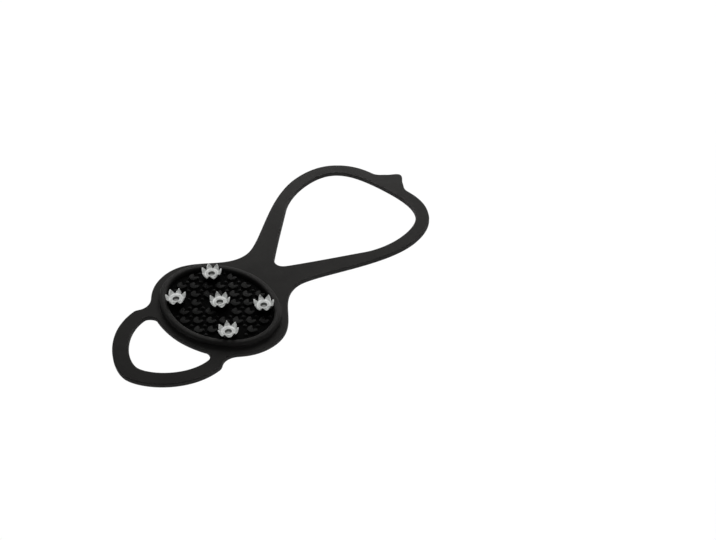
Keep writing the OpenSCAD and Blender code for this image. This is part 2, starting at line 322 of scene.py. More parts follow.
class Skin:
    """Vertices and faces of one piece while it is made."""

    # Share of the spacing by which filled points keep clear of the outlines
    edge_room: float = 0.7
    fill_tolerance: float = SAME_PLACE / 10
    bevel_segments: int = 2
    bevel_profile: float = 0.6

    def __init__(self) -> None:
        """Starts with nothing."""
        self.points: list[tuple[float, float, float]] = []
        self.wear_and_painted_light: list[float] = []
        self.faces: list[list[int]] = []

    def add(self, plan: np.ndarray, height: float, wear_and_painted_light: float = 0.0) -> np.ndarray:
        """Adds a row of points at one height.

        Args:
            plan: Plan points.
            height: Their height.
            wear_and_painted_light: How much scuffing and painted light show there, from 0 to 1.

        Returns:
            The numbers of the new points.
        """
        first = len(self.points)
        self.points += [(float(x), float(y), float(height)) for x, y in plan]
        self.wear_and_painted_light += [wear_and_painted_light] * len(plan)
        return np.arange(first, len(self.points))

    def lattice(self, rows: list[np.ndarray], closed: bool) -> None:
        """Joins neighbouring rows with quads.

        Args:
            rows: Point numbers, the same count in each row.
            closed: Whether each row returns to its first point.
        """
        for low, high in zip(rows, rows[1:]):
            for i in range(len(low) - (0 if closed else 1)):
                j = (i + 1) % len(low)
                self.faces.append([low[i], low[j], high[j], high[i]])

    def cap(self, loop: np.ndarray) -> None:
        """Closes a loop with one face."""
        self.faces.append(list(loop))

    def inner_points(self, outlines: list[np.ndarray], step: float) -> np.ndarray:
        """Spreads points evenly inside a region.

        Args:
            outlines: Plan outlines of the region and of its holes.
            step: Spacing of the points.

        Returns:
            Plan points in staggered rows that keep clear of the outlines.
        """
        plan = np.vstack(outlines)
        tree = KDTree(len(plan))
        for i, (x, y) in enumerate(plan):
            tree.insert((x, y, 0), i)
        tree.balance()
        low, high = plan.min(axis=0), plan.max(axis=0)
        rows = np.arange(low[1], high[1], step * math.sqrt(3) / 2)
        columns = np.arange(low[0], high[0], step)
        grid = np.array([(x + step / 2 * (j % 2), y) for j, y in enumerate(rows) for x in columns])
        grid = grid[is_inside(grid, outlines)]
        clear = [p for p in grid if tree.find((*p, 0))[2] > self.edge_room * step]
        return np.array(clear).reshape(-1, 2)

    def fill(self, loops: list[np.ndarray], step: float, upward: bool) -> None:
        """Fills a level region with even triangles.

        Args:
            loops: Point numbers of the region's outlines.
            step: Spacing of the points inside.
            upward: Whether the faces look up.
        """
        numbers = np.concatenate(loops)
        height = self.points[numbers[0]][2]
        outlines = [np.array([self.points[i][:2] for i in loop]) for loop in loops]
        edges = []
        first = 0
        for loop in loops:
            ends = range(first, first + len(loop))
            edges += list(zip(ends, [*ends[1:], first]))
            first += len(loop)
        grid = self.inner_points(outlines, step)
        numbers = np.concatenate([numbers, self.add(grid, height)])
        every = [Vector(p) for p in np.vstack([*outlines, grid])]
        made, _, triangles, sources, *_ = delaunay_2d_cdt(every, edges, [], 0, self.fill_tolerance)
        corners = np.array([numbers[source[0]] for source in sources])
        places = np.array([tuple(p) for p in made])
        triangles = np.array(triangles)
        for triangle in triangles[is_inside(places[triangles].mean(axis=1), outlines)]:
            a, b, c = places[triangle]
            turns_left = (b[0] - a[0]) * (c[1] - a[1]) > (b[1] - a[1]) * (c[0] - a[0])
            face = list(corners[triangle])
            self.faces.append(face if turns_left == upward else face[::-1])

    def revolve(
        self,
        profile: np.ndarray,
        centre: np.ndarray,
        count: int,
        ring: bool = False,
        wear_and_painted_light: float | np.ndarray = 0.0,
    ) -> None:
        """Turns a profile round an upright axis.

        Args:
            profile: Radii and heights, from the foot outward and up.
            centre: Plan point of the axis.
            count: Number of steps round the axis.
            ring: Whether the profile is closed and stays off the axis.
            wear_and_painted_light: How much scuffing and painted light show, everywhere or at each point of
                the profile.
        """
        wear_and_light_share = np.broadcast_to(wear_and_painted_light, len(profile)).tolist()
        places = [(r, z, w) for (r, z), w in zip(profile, wear_and_light_share)]
        rows = [self.add(circle(centre, r, count), z, w) for r, z, w in places if r > SAME_PLACE]
        self.lattice(rows + rows[:1] if ring else rows, True)
        if not ring:
            for (r, z, w), loop in ((places[0], rows[0][::-1]), (places[-1], rows[-1])):
                if r > SAME_PLACE:
                    self.cap(loop)
                    continue
                pole = self.add(centre[None], z, w)[0]
                self.faces += [[a, b, pole] for a, b in zip(loop, np.roll(loop, -1))]

    def stack(self, loop: np.ndarray, steps: list[tuple[float, float]], wear_and_painted_light: float = 0.0) -> None:
        """Builds a closed block from one outline, inset step by step.

        Args:
            loop: Plan outline, with the block on its left.
            steps: Inset and height of each row, from the foot up.
            wear_and_painted_light: How much scuffing and painted light show on the rows above the foot.
        """
        inward = left_normals(loop, True)
        rows = [
            self.add(loop + inward * inset, z, wear_and_painted_light if k else 0.0)
            for k, (inset, z) in enumerate(steps)
        ]
        self.lattice(rows, True)
        self.cap(rows[0][::-1])
        self.cap(rows[-1])

    def piece(self, name: str, material: bpy.types.Material, bevel: float = 0.0) -> bpy.types.Object:
        """Makes the Blender object.

        Args:
            name: Name of the piece.
            material: Its material.
            bevel: Width of the bevel on its sharp edges.

        Returns:
            The new object.
        """
        mesh = bpy.data.meshes.new(name)
        mesh.from_pydata(self.points, [], self.faces)
        mesh.attributes.new(WEAR_AND_PAINTED_LIGHT, "FLOAT", "POINT").data.foreach_set("value", self.wear_and_painted_light)
        if bevel:
            work = bmesh.new()
            work.from_mesh(mesh)
            sharp = [e for e in work.edges if e.is_manifold and e.calc_face_angle() > SHARP_ANGLE]
            bmesh.ops.bevel(
                work,
                geom=sharp,
                offset=bevel,
                segments=self.bevel_segments,
                profile=self.bevel_profile,
                affect="EDGES",
                clamp_overlap=True,
            )
            work.to_mesh(mesh)
            work.free()
        mesh.polygons.foreach_set("use_smooth", [True] * len(mesh.polygons))
        mesh.set_sharp_from_angle(angle=SHARP_ANGLE)
        mesh.materials.append(material)
        made = bpy.data.objects.new(name, mesh)
        bpy.context.scene.collection.objects.link(made)
        return made


@dataclass(frozen=True)
class Grain:
    """Fine irregular pattern of a surface, and the relief that it leaves there."""

    size: float
    detail: float
    strength: float = 0.0
    depth: float = 0.0
    squeeze: tuple[float, float, float] = (1.0, 1.0, 1.0)


class Wiring:
    """Node tree of one material while it is wired."""

    noise_roughness: float = 0.6
    noise_middle: tuple[float, float] = (0.3, 0.7)
    least_wear_and_light: float = 0.35
    # The Mix node's sockets for colours share their names with others, so they go by number
    first_colour: int = 6
    second_colour: int = 7
    mixed_colour: int = 2

    def __init__(self, name: str) -> None:
        """Starts a material that has only its output and a principled shader.

        Args:
            name: Name of the material.
        """
        self.material = bpy.data.materials.new(name)
        self.material.use_nodes = True
        self.tree = self.material.node_tree
        self.tree.nodes.clear()
        self.shader = self.node("ShaderNodeBsdfPrincipled")
        self.output = self.node("ShaderNodeOutputMaterial")
        self.link(self.shader.outputs["BSDF"], self.output.inputs["Surface"])

    def node(self, kind: str, **values: object) -> bpy.types.Node:
        """Adds a node.

        Args:
            kind: Blender's name of the node type.
            values: Settings of the node or, where it has none of that name, values of its sockets.

        Returns:
            The new node.
        """
        made = self.tree.nodes.new(kind)
        for name, value in values.items():
            if hasattr(made, name):
                setattr(made, name, value)
            else:
                made.inputs[name.replace("_", " ").title()].default_value = value
        return made

    def link(self, source: Socket, target: Socket) -> None:
        """Joins two sockets."""
        self.tree.links.new(source, target)

    def noise(self, grain: Grain) -> Socket:
        """Adds a noise that is fixed to the object.

        Args:
            grain: Size, detail and squeeze of its spots.

        Returns:
            The noise's value.
        """
        place = self.node("ShaderNodeTexCoord").outputs["Object"]
        mapping = self.node("ShaderNodeMapping")
        mapping.inputs["Scale"].default_value = grain.squeeze
        self.link(place, mapping.inputs["Vector"])
        noise = self.node(
            "ShaderNodeTexNoise", scale=1 / grain.size, detail=grain.detail, roughness=self.noise_roughness
        )
        self.link(mapping.outputs["Vector"], noise.inputs["Vector"])
        return noise.outputs["Fac"]

    def ramp(self, value: Socket, places: tuple[float, float], colours: tuple[Colour, Colour]) -> Socket:
        """Maps a value to colours.

        Args:
            value: Value from 0 to 1.
            places: Values at which the colours are pure.
            colours: Colours there.

        Returns:
            The colour.
        """
        ramp = self.node("ShaderNodeValToRGB")
        for element, place, colour in zip(ramp.color_ramp.elements, places, colours):
            element.position = place
            element.color = (*colour, 1)
        self.link(value, ramp.inputs["Fac"])
        return ramp.outputs["Color"]

    def spread(self, value: Socket, low: float, high: float) -> Socket:
        """Maps the middle of a noise's range to another range.

        Args:
            value: The noise's value.
            low: Result for a low value.
            high: Result for a high value.

        Returns:
            The mapped value.
        """
        change = self.node("ShaderNodeMapRange")
        names = ("From Min", "From Max", "To Min", "To Max")
        for name, limit in zip(names, (*self.noise_middle, low, high)):
            change.inputs[name].default_value = limit
        self.link(value, change.inputs["Value"])
        return change.outputs["Result"]

    def wear_and_painted_light(self, base: Socket, patches: Socket, colour: Colour) -> Socket:
        """Mixes in another colour where the mesh says so: scuffing, painted highlights and painted shade.

        Args:
            base: Colour of the unworn surface.
            patches: Noise that breaks up the wear.
            colour: Colour of the scuffing and painted light.

        Returns:
            The mixed colour.
        """
        wear_and_light_share = self.node("ShaderNodeAttribute", attribute_name=WEAR_AND_PAINTED_LIGHT)
        patchy = self.node("ShaderNodeMath", operation="MULTIPLY")
        self.link(wear_and_light_share.outputs["Fac"], patchy.inputs[0])
        self.link(self.spread(patches, self.least_wear_and_light, 1.0), patchy.inputs[1])
        mix = self.node("ShaderNodeMix", data_type="RGBA")
        self.link(patchy.outputs["Value"], mix.inputs["Factor"])
        self.link(base, mix.inputs[self.first_colour])
        mix.inputs[self.second_colour].default_value = (*colour, 1)
        return mix.outputs[self.mixed_colour]

    def bump(self, *reliefs: tuple[Socket, Grain]) -> None:
        """Lays fine relief on the surface.

        Args:
            reliefs: Noise and grain of each relief, coarse ones first.
        """
        normal = None
        for value, grain in reliefs:
            bump = self.node("ShaderNodeBump", strength=grain.strength, distance=grain.depth)
            self.link(value, bump.inputs["Height"])
            if normal is not None:
                self.link(normal, bump.inputs["Normal"])
            normal = bump.outputs["Normal"]
        self.link(normal, self.shader.inputs["Normal"])


@dataclass(frozen=True)
class RubberFinish:
    """Matt moulded rubber with a fine grain, faint clouds, and paler edges and knobs that are scuffing and
    a painted highlight.
    """

    slot: Slot
    dark: Colour
    pale: Colour
    highlight_and_wear: Colour
    roughness: float
    gloss: float
    uneven: float = 0.06
    clouds: Grain = Grain(14 * MM, 5)
    cloud_edges: tuple[float, float] = (0.32, 0.68)
    pores: Grain = Grain(0.96 * MM, 3, 0.25, 0.06 * MM)
    grain: Grain = Grain(0.16 * MM, 2, 0.3, 0.03 * MM)

    def material(self) -> bpy.types.Material:
        """Wires the material.

        Returns:
            The new material.
        """
        wiring = Wiring(self.slot.value)
        shader = wiring.shader
        clouds, pores, grain = (wiring.noise(g) for g in (self.clouds, self.pores, self.grain))
        base = wiring.ramp(clouds, self.cloud_edges, (self.dark, self.pale))
        roughness = wiring.spread(pores, self.roughness - self.uneven, self.roughness + self.uneven)
        wiring.link(wiring.wear_and_painted_light(base, clouds, self.highlight_and_wear), shader.inputs["Base Color"])
        wiring.link(roughness, shader.inputs["Roughness"])
        shader.inputs["Specular IOR Level"].default_value = self.gloss
        wiring.bump((pores, self.pores), (grain, self.grain))
        return wiring.material


@dataclass(frozen=True)
class SteelFinish:
    """Bright plated steel with faint stamping marks, duller patches and painted shade in its hollows."""

    slot: Slot
    bright: Colour
    dull: Colour
    roughness: float
    # Colour of painted shade in hollows; only the rivet's bore takes it
    hollow_shade: Colour = (0.24, 0.243, 0.235)
    polish: float = 0.06
    tarnish: float = 0.1
    patches: Grain = Grain(1.8 * MM, 4, 0.15, 0.036 * MM)
    patch_edges: tuple[float, float] = (0.3, 0.62)
    scratches: Grain = Grain(0.12 * MM, 2, 0.25, 0.012 * MM, (1.0, 0.18, 0.6))

    def material(self) -> bpy.types.Material:
        """Wires the material.

        Returns:
            The new material.
        """
        wiring = Wiring(self.slot.value)
        shader = wiring.shader
        patches, scratches = wiring.noise(self.patches), wiring.noise(self.scratches)
        plating = wiring.ramp(patches, self.patch_edges, (self.dull, self.bright))
        roughness = wiring.spread(patches, self.roughness + self.tarnish, self.roughness - self.polish)
        wiring.link(wiring.wear_and_painted_light(plating, patches, self.hollow_shade), shader.inputs["Base Color"])
        wiring.link(roughness, shader.inputs["Roughness"])
        shader.inputs["Metallic"].default_value = 1.0
        wiring.bump((patches, self.patches), (scratches, self.scratches))
        return wiring.material


BAND_RUBBER = RubberFinish(
    slot=Slot.BAND,
    dark=(0.0135, 0.0132, 0.0128),
    pale=(0.0175, 0.0171, 0.0165),
    # Paler colour of the band's rounded edges: scuffing and a painted highlight
    highlight_and_wear=(0.034, 0.0333, 0.0322),
    roughness=0.6,
    gloss=0.06,
)
TREAD_RUBBER = RubberFinish(
    slot=Slot.TREAD,
    # Near-black unworn colour: painted shade on the tread's floor between the knobs
    dark=(0.0007, 0.0007, 0.0007),
    pale=(0.0014, 0.0014, 0.0014),
    # Paler colour that the knobs and pips take: a painted highlight on the raised tread, partly scuffing
    highlight_and_wear=(0.019, 0.019, 0.0187),
    roughness=0.5,
    gloss=0.012,
)
CROWN_STEEL = SteelFinish(Slot.CROWN, bright=(0.84, 0.85, 0.84), dull=(0.56, 0.57, 0.56), roughness=0.26)
RIVET_STEEL = SteelFinish(Slot.RIVET, bright=(0.7, 0.71, 0.7), dull=(0.46, 0.47, 0.46), roughness=0.4)
WASHER_STEEL = SteelFinish(Slot.WASHER, bright=(0.62, 0.63, 0.64), dull=(0.44, 0.45, 0.46), roughness=0.4)


@dataclass(frozen=True)
class Oval:
    """Oval of two end arcs and two side arcs that meet smoothly."""

    across: float = 65.1 * MM
    along: float = 50.2 * MM
    end_radius: float = 20.0 * MM

    def loop(self, grow: float, count: int) -> np.ndarray:
        """Gives a parallel oval.

        Args:
            grow: Distance outside this oval.
            count: Number of points on each arc.

        Returns:
            Plan points, counterclockwise.
        """
        half_across, half_along, end = self.across / 2, self.along / 2, self.end_radius
        end_x = half_across - end
        side = (end_x**2 + half_along**2 - end**2) / (2 * (half_along - end))
        side_y = side - half_along
        meet = math.atan2(side_y, end_x)
        arcs = [
            ((end_x, 0), end, -meet, meet),
            ((0, -side_y), side, meet, math.pi - meet),
            ((-end_x, 0), end, math.pi - meet, math.pi + meet),
            ((0, side_y), side, math.pi + meet, 2 * math.pi - meet),
        ]
        points = [
            around(np.array(centre), radius + grow, np.linspace(start, stop, count, endpoint=False))
            for centre, radius, start, stop in arcs
        ]
        return np.vstack(points)


@dataclass
class BandSheet:
    """One part of the flat rubber band, with rounded edges and square ends at the fold lines."""

    node: str
    name: str
    folds: tuple[float, ...]
    top_round: float = 0.5 * MM
    low_round: float = 0.3 * MM
    hold: float = 0.25 * MM
    step: float = 0.9 * MM
    mesh: float = 1.5 * MM
    smallest: float = 300 * MM * MM
    round_steps: int = 4
    low_wear: float = 0.3
    thickness: float = field(init=False)

    def __post_init__(self) -> None:
        """Takes the thickness from the frame."""
        self.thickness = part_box("toe_loop")[1].z

    def edge(self) -> list[tuple[float, float, float]]:
        """Works out the section of a rounded edge.

        Returns:
            Inset, height and share of scuffing and painted highlight of each row, from the shoe side up.
        """
        turn = quarter(self.round_steps)
        low, top, high = self.low_round, self.top_round, self.thickness
        rows = [(low + self.hold, 0.0, 0.0)]
        rows += [(low * (1 - math.sin(a)), low * (1 - math.cos(a)), self.low_wear) for a in turn]
        # The top rounding takes most of the paler colour at its middle: scuffing and a painted highlight
        # along the edge
        rows += [(top * (1 - math.cos(a)), high - top * (1 - math.sin(a)), math.sin(2 * a)) for a in turn]
        rows.append((top + self.hold, high, 0.0))
        return rows

    def runs(self, loop: np.ndarray) -> tuple[list[np.ndarray], bool]:
        """Splits an outline at the fold lines.

        Args:
            loop: Closed outline of the CAD node.

        Returns:
            The free edges between fold lines, and whether the only one is closed.
        """
        on_fold = np.zeros(len(loop), bool)
        for fold in self.folds:
            near = np.abs(loop[:, 1] - fold) < FOLD_SNAP
            loop[near, 1] = fold
            on_fold |= near
        seam = on_fold & np.roll(on_fold, -1) & (loop[:, 1] == np.roll(loop[:, 1], -1))
        if not seam.any():
            return [spline_through(loop, self.step, True)], True
        first = int(np.argmax(seam)) + 1
        loop, seam = np.roll(loop, -first, axis=0), np.roll(seam, -first)
        runs, current = [], [loop[0]]
        for i in range(len(loop)):
            if seam[i]:
                runs.append(np.array(current))
                current = []
            current.append(loop[(i + 1) % len(loop)])
        return [spline_through(run, self.step, False) for run in runs if len(run) > 1], False

    def seam(
        self, skin: Skin, rows: list[np.ndarray], following: list[np.ndarray]
    ) -> tuple[np.ndarray, np.ndarray]:
        """Closes the band where it ends at a fold line.

        Args:
            skin: Skin of the piece.
            rows: Rows of the edge that arrives at the fold line.
            following: Rows of the edge that leaves it.

        Returns:
            The points between both edges on the shoe side and on top.
        """
        made = []
        for level in (0, -1):
            start = np.array(skin.points[rows[level][-1]])
            end = np.array(skin.points[following[level][0]])
            count = round(np.linalg.norm(end - start) / self.mesh)
            share = np.linspace(0, 1, count + 1)[1:-1, None]
            made.append(skin.add((start + (end - start) * share)[:, :2], start[2]))
        low, top = made
        arriving = [row[-1] for row in rows]
        leaving = [row[0] for row in following]
        skin.cap(np.concatenate([low, leaving, top[::-1], arriving[::-1]]))
        return low, top

    def edges(self, skin: Skin) -> tuple[list[np.ndarray], list[np.ndarray]]:
        """Makes the rounded edges and the square ends.

        Args:
            skin: Skin of the piece.

        Returns:
            Outlines of the flat faces on the shoe side and on top.
        """
        low_loops, top_loops = [], []
        for outline in flat_loops(self.node, 0.0):
            if abs(signed_area(outline)) < self.smallest:
                continue
            runs, closed = self.runs(outline)
            made = []
            for run in runs:
                inward = left_normals(run, closed)
                rows = [skin.add(run + inward * inset, height, wear_and_painted_light) for inset, height, wear_and_painted_light in self.edge()]
                skin.lattice(rows, closed)
                made.append(rows)
            low, top = [], []
            for rows, following in zip(made, made[1:] + made[:1]):
                low.append(rows[0])
                top.append(rows[-1])
                if not closed:
                    between = self.seam(skin, rows, following)
                    low.append(between[0])
                    top.append(between[1])
            low_loops.append(np.concatenate(low))
            top_loops.append(np.concatenate(top))
        return low_loops, top_loops

    def build(self, material: bpy.types.Material) -> bpy.types.Object:
        """Makes the piece.

        Args:
            material: The band's rubber.

        Returns:
            The piece, which stands for its CAD node.
        """
        skin = Skin()
        low, top = self.edges(skin)
        self.faces(skin, low, top)
        made = skin.piece(self.name, material)
        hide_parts(self.node)
        return made

    def faces(self, skin: Skin, low: list[np.ndarray], top: list[np.ndarray]) -> None:
        """Fills the flat faces inside the outlines on the shoe side and on top."""
        skin.fill(low, self.mesh, False)
        skin.fill(top, self.mesh, True)


@dataclass
class Loop(BandSheet):
    """A loop of the band, which ends square at its fold line."""

    body: Body = Body.TOE_LOOP
    bend: float = 5 * MM
    step: float = 0.45 * MM
    mesh: float = 0.8 * MM

    def dress(self, material: bpy.types.Material) -> bpy.types.Object:
        """Makes the loop.

        Args:
            material: The band's rubber.

        Returns:
            The finished piece.
        """
        made = self.build(material)
        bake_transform(made)
        return made


@dataclass
class SolePad(BandSheet):
    """The band's sole: flange, raised oval ring and neck, with pockets for the washers."""

    oval: Oval = Oval()
    wall: float = 3.6 * MM
    ring_height: float = 2.6 * MM
    crest: float = 1.3 * MM
    crest_steps: int = 5
    foot: float = 0.5 * MM
    arc_points: int = 44
    bore: float = 4.3 * MM
    pocket_gap: float = 0.1 * MM
    pocket_points: int = 40

    def ring_profile(self) -> list[tuple[float, float]]:
        """Works out the section of the ring.

        Returns:
            Distance outside the oval and height of each row, from the outer foot to the inner one.
        """
        half, base, crest = self.wall / 2, self.thickness, self.crest
        top = base + self.ring_height
        turn = quarter(self.crest_steps)
        rows = [(half + self.foot + self.hold, base)]
        rows += [(half + self.foot * (1 - math.sin(a)), base + self.foot * (1 - math.cos(a))) for a in turn]
        outer = [(half - crest * (1 - math.cos(a)), top - crest * (1 - math.sin(a))) for a in turn]
        rows += outer
        rows += [(-distance, height) for distance, height in outer[::-1]]
        rows.append((-half, base))
        return rows

    def pocket(self, skin: Skin, place: StudPlace) -> tuple[np.ndarray, np.ndarray]:
        """Makes the pocket of one washer and the rivet's hole.

        Args:
            skin: Skin of the piece.
            place: Which stud it belongs to.

        Returns:
            The pocket's rim on the shoe side and the hole's rim on top.
        """
        low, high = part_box(f"washer_{place.value}")
        centre = stud_centre(place)
        pocket = (high.x - low.x) / 2 + self.pocket_gap
        steps = [(pocket, 0.0), (pocket, high.z), (self.bore / 2, high.z), (self.bore / 2, self.thickness)]
        rows = [skin.add(circle(centre, r, self.pocket_points)[::-1], z) for r, z in steps]
        skin.lattice(rows, True)
        return rows[0], rows[-1]

    def faces(self, skin: Skin, low: list[np.ndarray], top: list[np.ndarray]) -> None:
        """Makes the ring and the pockets, and fills the flat faces between them.

        Args:
            skin: Skin of the piece.
            low: Outlines on the shoe side.
            top: Outlines on top.
        """
        ring = [skin.add(self.oval.loop(d, self.arc_points), z) for d, z in self.ring_profile()]
        skin.lattice(ring, True)
        pockets = [self.pocket(skin, place) for place in StudPlace]
        skin.fill(low + [pocket[0] for pocket in pockets], self.mesh, False)
        skin.fill(top + ring[:1], self.mesh, True)
        skin.fill(ring[-1:] + [pocket[1] for pocket in pockets], self.mesh, True)

    def dress(self, material: bpy.types.Material) -> bpy.types.Object:
        """Makes the sole and fixes it to its body."""
        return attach(self.build(material), Body.SOLE.value)


@dataclass
class TreadPad:
    """Black tread inside the ring, with shield-shaped knobs, small pips and a boss under each stud."""

    node: str = "tread_pad"
    name: str = "rubber_tread"
    oval: Oval = Oval()
    inset: float = 1.9 * MM
    plate_round: float = 0.25 * MM
    plate_ease: float = 0.075 * MM
    arc_points: int = 40
    mesh: float = 2.0 * MM
    sink: float = 0.25 * MM
    knob_corner: float = 0.7 * MM
    knob_bevel: float = 0.3 * MM
    knob_draft: float = 0.18 * MM
    boss_bevel: float = 0.4 * MM
    hole: float = 4.3 * MM
    hole_points: int = 40
    pip_points: int = 14
    dome_steps: int = 4
    corner_steps: int = 3
    # Knobs and pips take this share of the paler colour: a painted highlight on the raised tread, partly
    # scuffing
    top_highlight_and_wear: float = 0.9

    def plate(self, skin: Skin, low: float, floor: float) -> None:
        """Makes the floor of the tread.

        Args:
            skin: Skin of the piece.
            low: Height of its lower face.
            floor: Height of its upper face.
        """
        steps = [
            (self.inset, low),
            (self.inset, floor - self.plate_round),
            (self.inset + self.plate_ease, floor - self.plate_ease),
            (self.inset + self.plate_round, floor),
        ]
        rows = [skin.add(self.oval.loop(-d, self.arc_points), z) for d, z in steps]
        skin.lattice(rows, True)
        holes = []
        for place in StudPlace:
            rim = circle(stud_centre(place), self.hole / 2, self.hole_points)[::-1]
            holes.append([skin.add(rim, low), skin.add(rim, floor)])
            skin.lattice(holes[-1], True)
        skin.fill([rows[0], *(hole[0] for hole in holes)], self.mesh, False)
        skin.fill([rows[-1], *(hole[1] for hole in holes)], self.mesh, True)

    def knob(self, skin: Skin, outline: np.ndarray, floor: float, top: float) -> None:
        """Makes one shield-shaped knob with drafted sides and rounded edges.

        Args:
            skin: Skin of the piece.
            outline: Plan outline of the CAD knob.
            floor: Height of the tread's floor.
            top: Height of the knob.
        """
        loop = rounded(outline, self.knob_corner, self.corner_steps, True)
        bevel = self.knob_bevel
        steps = [(-self.knob_draft, floor - self.sink), (-self.knob_draft, floor), (0, top - bevel)]
        turn = quarter(self.corner_steps)[1:]
        steps += [(bevel * (1 - math.cos(a)), top - bevel * (1 - math.sin(a))) for a in turn]
        skin.stack(loop, steps, self.top_highlight_and_wear)

    @staticmethod
    def middle_and_radius(outline: np.ndarray) -> tuple[np.ndarray, float]:
        """Gives the middle and the radius of a round outline."""
        return (outline.min(axis=0) + outline.max(axis=0)) / 2, np.ptp(outline[:, 0]) / 2

    def pip(self, skin: Skin, outline: np.ndarray, floor: float, top: float) -> None:
        """Makes one small domed pip.

        Args:
            skin: Skin of the piece.
            outline: Plan outline of the CAD pip.
            floor: Height of the tread's floor.
            top: Height of the pip.
        """
        centre, radius = self.middle_and_radius(outline)
        foot = floor - self.sink
        dome = [(radius * math.cos(a), top - radius * (1 - math.sin(a))) for a in quarter(self.dome_steps)]
        profile = np.array([(0, foot), (radius, foot), *dome])
        skin.revolve(profile, centre, self.pip_points, wear_and_painted_light=self.top_highlight_and_wear)

    def boss(self, skin: Skin, outline: np.ndarray, floor: float, top: float) -> None:
        """Makes the flat boss that carries one crown.

        Args:
            skin: Skin of the piece.
            outline: Plan outline of the CAD boss.
            floor: Height of the tread's floor.
            top: Height of the boss.
        """
        centre, radius = self.middle_and_radius(outline)
        hole, foot = self.hole / 2, floor - self.sink
        corners = np.array([(hole, foot), (radius, foot), (radius, top), (hole, top)])
        profile = rounded(corners, self.boss_bevel, self.corner_steps, True)
        skin.revolve(profile, centre, self.hole_points, ring=True)

    def dress(self, material: bpy.types.Material) -> bpy.types.Object:
        """Makes the tread and fixes it to the sole.

        Args:
            material: The tread's rubber.

        Returns:
            The finished piece.
        """
        low, floor, pip, knob, boss = levels(self.node)
        skin = Skin()
        self.plate(skin, low, floor)
        for outline in flat_loops(self.node, knob):
            self.knob(skin, outline, floor, knob)
        for outline in flat_loops(self.node, pip):
            self.pip(skin, outline, floor, pip)
        for outline in flat_loops(self.node, boss):
            if signed_area(outline) > 0:
                self.boss(skin, outline, floor, boss)
        made = skin.piece(self.name, material)
        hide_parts(self.node)
        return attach(made, Body.SOLE.value)


@dataclass(frozen=True)
class CrownSide:
    """Points of one side of a crown: rows round its cup, and rows across each tooth."""

    cup: list[np.ndarray]
    teeth: list[list[np.ndarray]]


